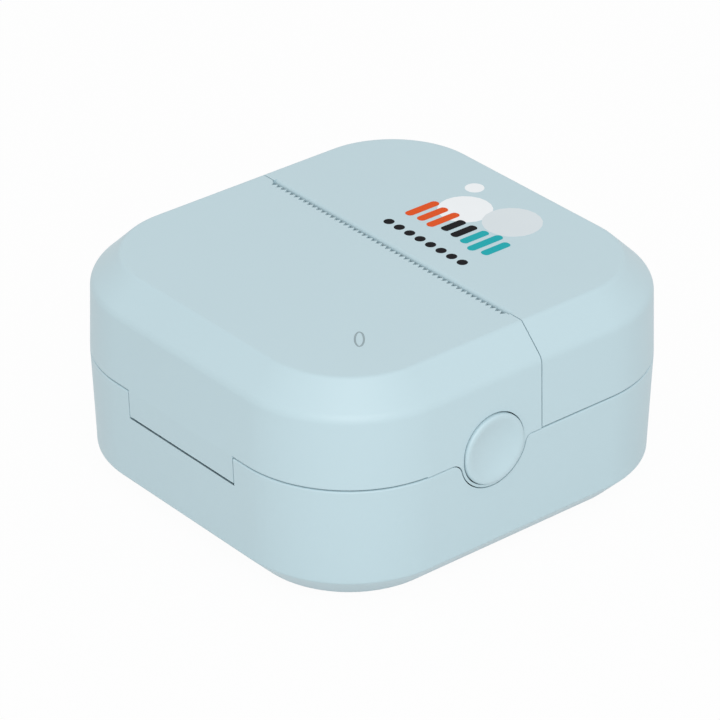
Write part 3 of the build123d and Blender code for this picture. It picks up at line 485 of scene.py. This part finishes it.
def end_tree(tree, entry, grown):
    """Realizes what has grown, gives it its finish and leads it out."""
    nodes, links = tree.nodes, tree.links
    real = nodes.new("GeometryNodeRealizeInstances")
    dressed = nodes.new("GeometryNodeSetMaterial")
    links.new(grown, real.inputs["Geometry"])
    links.new(real.outputs[0], dressed.inputs["Geometry"])
    links.new(entry.outputs["Finish"], dressed.inputs["Material"])
    links.new(dressed.outputs[0], nodes.new("NodeGroupOutput").inputs["Geometry"])


def grow(name, tree, place, body, slot, material, **sizes):
    """Runs a tree with its sizes, puts the result in its place and makes it a piece."""
    seed = bpy.data.objects.new(name, bpy.data.meshes.new(name))
    bpy.context.scene.collection.objects.link(seed)
    modifier = seed.modifiers.new(name, "NODES")
    modifier.node_group = tree
    values = {label.replace("_", " "): value for label, value in sizes.items()}
    values["Finish"] = material
    for socket in tree.interface.items_tree:
        if socket.in_out == "INPUT" and socket.name in values:
            modifier[socket.identifier] = values[socket.name]
    mesh = settled(seed)
    mesh.transform(place)
    piece = add_piece(name, mesh, body, slot, material)
    print(name, len(mesh.polygons), "faces")
    return piece


# %% [markdown]
# A plate is an outline with round corners, filled and raised. Its underside is a turned copy
# of the fill, so that the solid is closed and every face points outward. One tree makes a row
# of such plates, and a random share of their length can be taken off, from a fixed seed.

# %% Tree for a row of plates
row_tree, entry = new_tree("Row of plates", [
    ("Count", 5), ("Pitch", 2.0 * MM), ("Width", 1.0 * MM), ("Length", 3.0 * MM),
    ("Corner", 0.2 * MM), ("Thickness", 0.1 * MM), ("Least share", 1.0), ("Seed", 1),
])
nodes, links = row_tree.nodes, row_tree.links
outline = nodes.new("GeometryNodeCurvePrimitiveQuadrilateral")
rounded = nodes.new("GeometryNodeFilletCurve")
rounded.mode = "POLY"
rounded.inputs["Count"].default_value = 5
filled = nodes.new("GeometryNodeFillCurve")
filled.mode = "NGONS"
raised = nodes.new("GeometryNodeExtrudeMesh")
underside = nodes.new("GeometryNodeFlipFaces")
plate = nodes.new("GeometryNodeJoinGeometry")
welded = nodes.new("GeometryNodeMergeByDistance")
welded.inputs["Distance"].default_value = 0.0005 * MM
links.new(entry.outputs["Width"], outline.inputs["Width"])
links.new(entry.outputs["Length"], outline.inputs["Height"])
links.new(outline.outputs["Curve"], rounded.inputs["Curve"])
links.new(entry.outputs["Corner"], rounded.inputs["Radius"])
links.new(rounded.outputs["Curve"], filled.inputs["Curve"])
links.new(filled.outputs["Mesh"], raised.inputs["Mesh"])
links.new(entry.outputs["Thickness"], raised.inputs["Offset Scale"])
links.new(filled.outputs["Mesh"], underside.inputs["Mesh"])
links.new(raised.outputs["Mesh"], plate.inputs["Geometry"])
links.new(underside.outputs["Mesh"], plate.inputs["Geometry"])
links.new(plate.outputs["Geometry"], welded.inputs["Geometry"])

spots = nodes.new("GeometryNodeMeshLine")
step = nodes.new("ShaderNodeCombineXYZ")
links.new(entry.outputs["Count"], spots.inputs["Count"])
links.new(entry.outputs["Pitch"], step.inputs["X"])
links.new(step.outputs[0], spots.inputs["Offset"])
share = nodes.new("FunctionNodeRandomValue")
share.data_type = "FLOAT"
stretch = nodes.new("ShaderNodeCombineXYZ")
stretch.inputs["X"].default_value = 1.0
stretch.inputs["Z"].default_value = 1.0
row = nodes.new("GeometryNodeInstanceOnPoints")
links.new(entry.outputs["Least share"], share.inputs[2])
links.new(entry.outputs["Seed"], share.inputs["Seed"])
links.new(share.outputs[1], stretch.inputs["Y"])
links.new(spots.outputs["Mesh"], row.inputs["Points"])
links.new(welded.outputs["Geometry"], row.inputs["Instance"])
links.new(stretch.outputs[0], row.inputs["Scale"])
end_tree(row_tree, entry, row.outputs["Instances"])
print("tree:", row_tree.name)


# %% [markdown]
# A tree grows its row at the origin, along X and facing up. A place is a matrix that carries
# the finished mesh to its face, so the piece itself stays at the origin and unturned.

# %% Places for rows
def lying(x, y, z):
    """A place on a face that looks up."""
    return Matrix.Translation((x, y, z))


def facing_front(x, y, z):
    """A place on a face that looks to the front."""
    return Matrix.Translation((x, y, z)) @ Matrix.Rotation(radians(90), 4, "X")


# %% [markdown]
# The print head heats the paper along one glazed line, fed by a row of gold pads below it. On
# the real strip both are printed in thick film, a few hundredths of a millimetre high.

# %% Glaze and pads of the print head
glaze = finish("heater glaze", (0.16, 0.10, 0.06), 0.15, depth=0.02, tone=0.2,
               shader_values={"Coat Weight": 0.6})
pad_gold = finish("pad gold", (0.83, 0.62, 0.28), 0.3, shader_values=metal)
film = 0.04 * MM
ceramic_low = Vector(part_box("head_ceramic")[0])
platen_low, platen_high = (Vector(corner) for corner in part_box("platen_rubber"))
nip_z = (platen_low.z + platen_high.z) / 2
glaze_width = platen_high.x - platen_low.x
grow("heater_glaze", row_tree, facing_front(0, ceramic_low.y, nip_z), "head", "head_ceramic",
     glaze, Count=1, Width=glaze_width, Length=1.4 * MM, Corner=0.3 * MM, Thickness=film)
pad_count = 44
pad_pitch = glaze_width / pad_count
grow("head_pads", row_tree,
     facing_front(-pad_pitch * (pad_count - 1) / 2, ceramic_low.y, ceramic_low.z + 1.6 * MM),
     "head", "head_ceramic", pad_gold, Count=pad_count, Pitch=pad_pitch,
     Width=0.55 * pad_pitch, Length=1.8 * MM, Corner=0.05 * MM, Thickness=film)

# %% [markdown]
# The charging socket's tongue carries its contacts on both sides; the upper row shows from
# behind. They are the same kind of row as the pads, so the same tree makes them, lying down.

# %% Contacts of the charging socket
socket_low, socket_high = (Vector(corner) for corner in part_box("charging_socket"))
socket_x = (socket_low.x + socket_high.x) / 2
tongue_top = (socket_low.z + socket_high.z) / 2 + 0.35 * MM
contact_count = 8
contact_pitch = 0.7 * MM
grow("socket_contacts", row_tree,
     lying(socket_x - contact_pitch * (contact_count - 1) / 2, socket_high.y - 2.4 * MM,
           tongue_top),
     "root", "brass", pad_gold, Count=contact_count, Pitch=contact_pitch, Width=0.35 * MM,
     Length=2.6 * MM, Corner=0.05 * MM, Thickness=film)


# %% [markdown]
# A roll's end shows the edge of one long sheet, wound some hundreds of times. Rings in the
# material would do for a still picture; a spiral tube follows the sheet's own path and turns
# with the roll. Real paper is finer than a picture can show, so only some turns are drawn.

# %% Tree for the windings
spiral_tree, entry = new_tree("Wound edge", [
    ("Turns", 20.0), ("Inner radius", 7.0 * MM), ("Outer radius", 15.0 * MM),
    ("Thread radius", 0.05 * MM),
])
nodes, links = spiral_tree.nodes, spiral_tree.links
path = nodes.new("GeometryNodeCurveSpiral")
path.inputs["Resolution"].default_value = 72
path.inputs["Height"].default_value = 0.0
thread = nodes.new("GeometryNodeCurvePrimitiveCircle")
thread.inputs["Resolution"].default_value = 4
tube = nodes.new("GeometryNodeCurveToMesh")
tube.inputs["Fill Caps"].default_value = True
links.new(entry.outputs["Turns"], path.inputs["Rotations"])
links.new(entry.outputs["Inner radius"], path.inputs["Start Radius"])
links.new(entry.outputs["Outer radius"], path.inputs["End Radius"])
links.new(entry.outputs["Thread radius"], thread.inputs["Radius"])
links.new(path.outputs[0], tube.inputs["Curve"])
links.new(thread.outputs[0], tube.inputs["Profile Curve"])
end_tree(spiral_tree, entry, tube.outputs["Mesh"])
print("tree:", spiral_tree.name)

# %% [markdown]
# Each end of the roll gets one spiral, from just outside the core to just inside the rim. Both
# belong to the roll's body, so they turn with it, and their thread is half sunk in the paper.

# %% Windings on both ends of the roll
roll_low, roll_high = (Vector(corner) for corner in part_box("paper_roll"))
core_low, core_high = (Vector(corner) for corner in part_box("roll_core"))
roll_middle = (roll_low + roll_high) / 2
paper_edge = finish("cut paper edge", (0.66, 0.66, 0.65), 0.7, tone=0.05, Fine=7000.0)
thread_radius = 0.06 * MM
for side, x in (("left", roll_low.x), ("right", roll_high.x)):
    grow("windings_" + side, spiral_tree,
         Matrix.Translation((x, roll_middle.y, roll_middle.z)) @ Matrix.Rotation(
             radians(90), 4, "Y"),
         "roll", "paper", paper_edge, Turns=22.0,
         Inner_radius=(core_high.z - core_low.z) / 2 + 2 * thread_radius,
         Outer_radius=(roll_high.z - roll_low.z) / 2 - 2 * thread_radius,
         Thread_radius=thread_radius)

# %% [markdown]
# The lid carries a small printed design: pale discs with a rhythm of coloured bars over them
# and a line of dots below. Pad printing lays down about a hundredth of a millimetre of ink,
# so the layers are thin plates, each a little higher than the one that it lies on.

# %% Inks
matt_ink = {"Specular IOR Level": 0.04}
ink_colours = {
    "white": (0.87, 0.90, 0.92),
    "mist": (0.70, 0.76, 0.79),
    "orange": (0.74, 0.095, 0.018),
    "teal": (0.018, 0.40, 0.44),
    "black": (0.008, 0.008, 0.010),
    "grey": (0.33, 0.42, 0.45),
}
inks = {
    name: finish(name + " ink", colour, 0.55, tone=0.03, shader_values=matt_ink, Fine=6000.0)
    for name, colour in ink_colours.items()
}
print(len(inks), "inks")
ink_layer = 0.012 * MM
rear_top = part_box("rear_shell")[1][2]
cover_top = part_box("front_cover")[1][2]


def printed(name, x, y, layer, ink, body="root", top=rear_top, **sizes):
    """A row of printed plates on the lid, at a place in millimetres and a layer of ink."""
    return grow(name, row_tree, lying(x * MM, y * MM, top), body, "casing", inks[ink],
                Thickness=layer * ink_layer, **sizes)


# %% [markdown]
# The bars share their width, pitch and round ends, and the tree's seed gives each colour its
# own lengths, so three calls make eight bars. The dots are the same plates again, made round.

# %% The printed design
printed("ink_disc_left", -1.5, 22.0, 1, "white", Count=1, Width=9.6 * MM, Length=9.6 * MM,
        Corner=4.79 * MM)
printed("ink_disc_right", 7.2, 25.0, 2, "mist", Count=1, Width=10.4 * MM, Length=10.4 * MM,
        Corner=5.19 * MM)
printed("ink_disc_small", -6.4, 28.4, 1, "white", Count=1, Width=3.4 * MM, Length=3.4 * MM,
        Corner=1.69 * MM)
bar = {"Width": 1.7 * MM, "Length": 7.4 * MM, "Corner": 0.84 * MM, "Least_share": 0.55}
printed("ink_bars_orange", -6.4, 16.6, 3, "orange", Count=3, Pitch=2.7 * MM, Seed=3, **bar)
printed("ink_bars_black", 1.7, 16.6, 3, "black", Count=2, Pitch=2.7 * MM, Seed=8, **bar)
printed("ink_bars_teal", 7.1, 16.6, 3, "teal", Count=3, Pitch=2.7 * MM, Seed=5, **bar)
printed("ink_dots", -6.4, 9.2, 1, "black", Count=8, Pitch=2.7 * MM, Width=1.9 * MM,
        Length=1.9 * MM, Corner=0.94 * MM)


# %% [markdown]
# A thin grey oval is printed on the cover too. It is a closed line of even width, so it is a
# tree of its own: a circle is squeezed to an oval, and a flat strip follows it.

# %% Tree for a printed oval
oval_tree, entry = new_tree("Printed oval", [
    ("Half length", 2.0 * MM), ("Half width", 1.0 * MM), ("Line", 0.3 * MM),
    ("Thickness", 0.02 * MM),
])
nodes, links = oval_tree.nodes, oval_tree.links
ring = nodes.new("GeometryNodeCurvePrimitiveCircle")
ring.inputs["Resolution"].default_value = 64
ring.inputs["Radius"].default_value = 1.0
squeeze = nodes.new("ShaderNodeCombineXYZ")
squeeze.inputs["Z"].default_value = 1.0
oval = nodes.new("GeometryNodeTransform")
strip = nodes.new("GeometryNodeCurvePrimitiveQuadrilateral")
line = nodes.new("GeometryNodeCurveToMesh")
links.new(entry.outputs["Half length"], squeeze.inputs["X"])
links.new(entry.outputs["Half width"], squeeze.inputs["Y"])
links.new(ring.outputs[0], oval.inputs["Geometry"])
links.new(squeeze.outputs[0], oval.inputs["Scale"])
links.new(entry.outputs["Line"], strip.inputs["Width"])
links.new(entry.outputs["Thickness"], strip.inputs["Height"])
links.new(oval.outputs[0], line.inputs["Curve"])
links.new(strip.outputs[0], line.inputs["Profile Curve"])
end_tree(oval_tree, entry, line.outputs["Mesh"])

# %% [markdown]
# The oval is turned to look level in the picture and belongs to the cover, so it swings up
# with it when the printer is opened.

# %% The oval on the cover
oval_place = (21.5 * MM, -20.5 * MM)
oval_turn = radians(140.3)
grow("ink_oval", oval_tree,
     lying(*oval_place, cover_top + ink_layer / 2) @ Matrix.Rotation(oval_turn, 4, "Z"),
     "cover", "casing", inks["grey"], Half_length=2.33 * MM, Half_width=0.73 * MM,
     Line=0.32 * MM, Thickness=ink_layer)
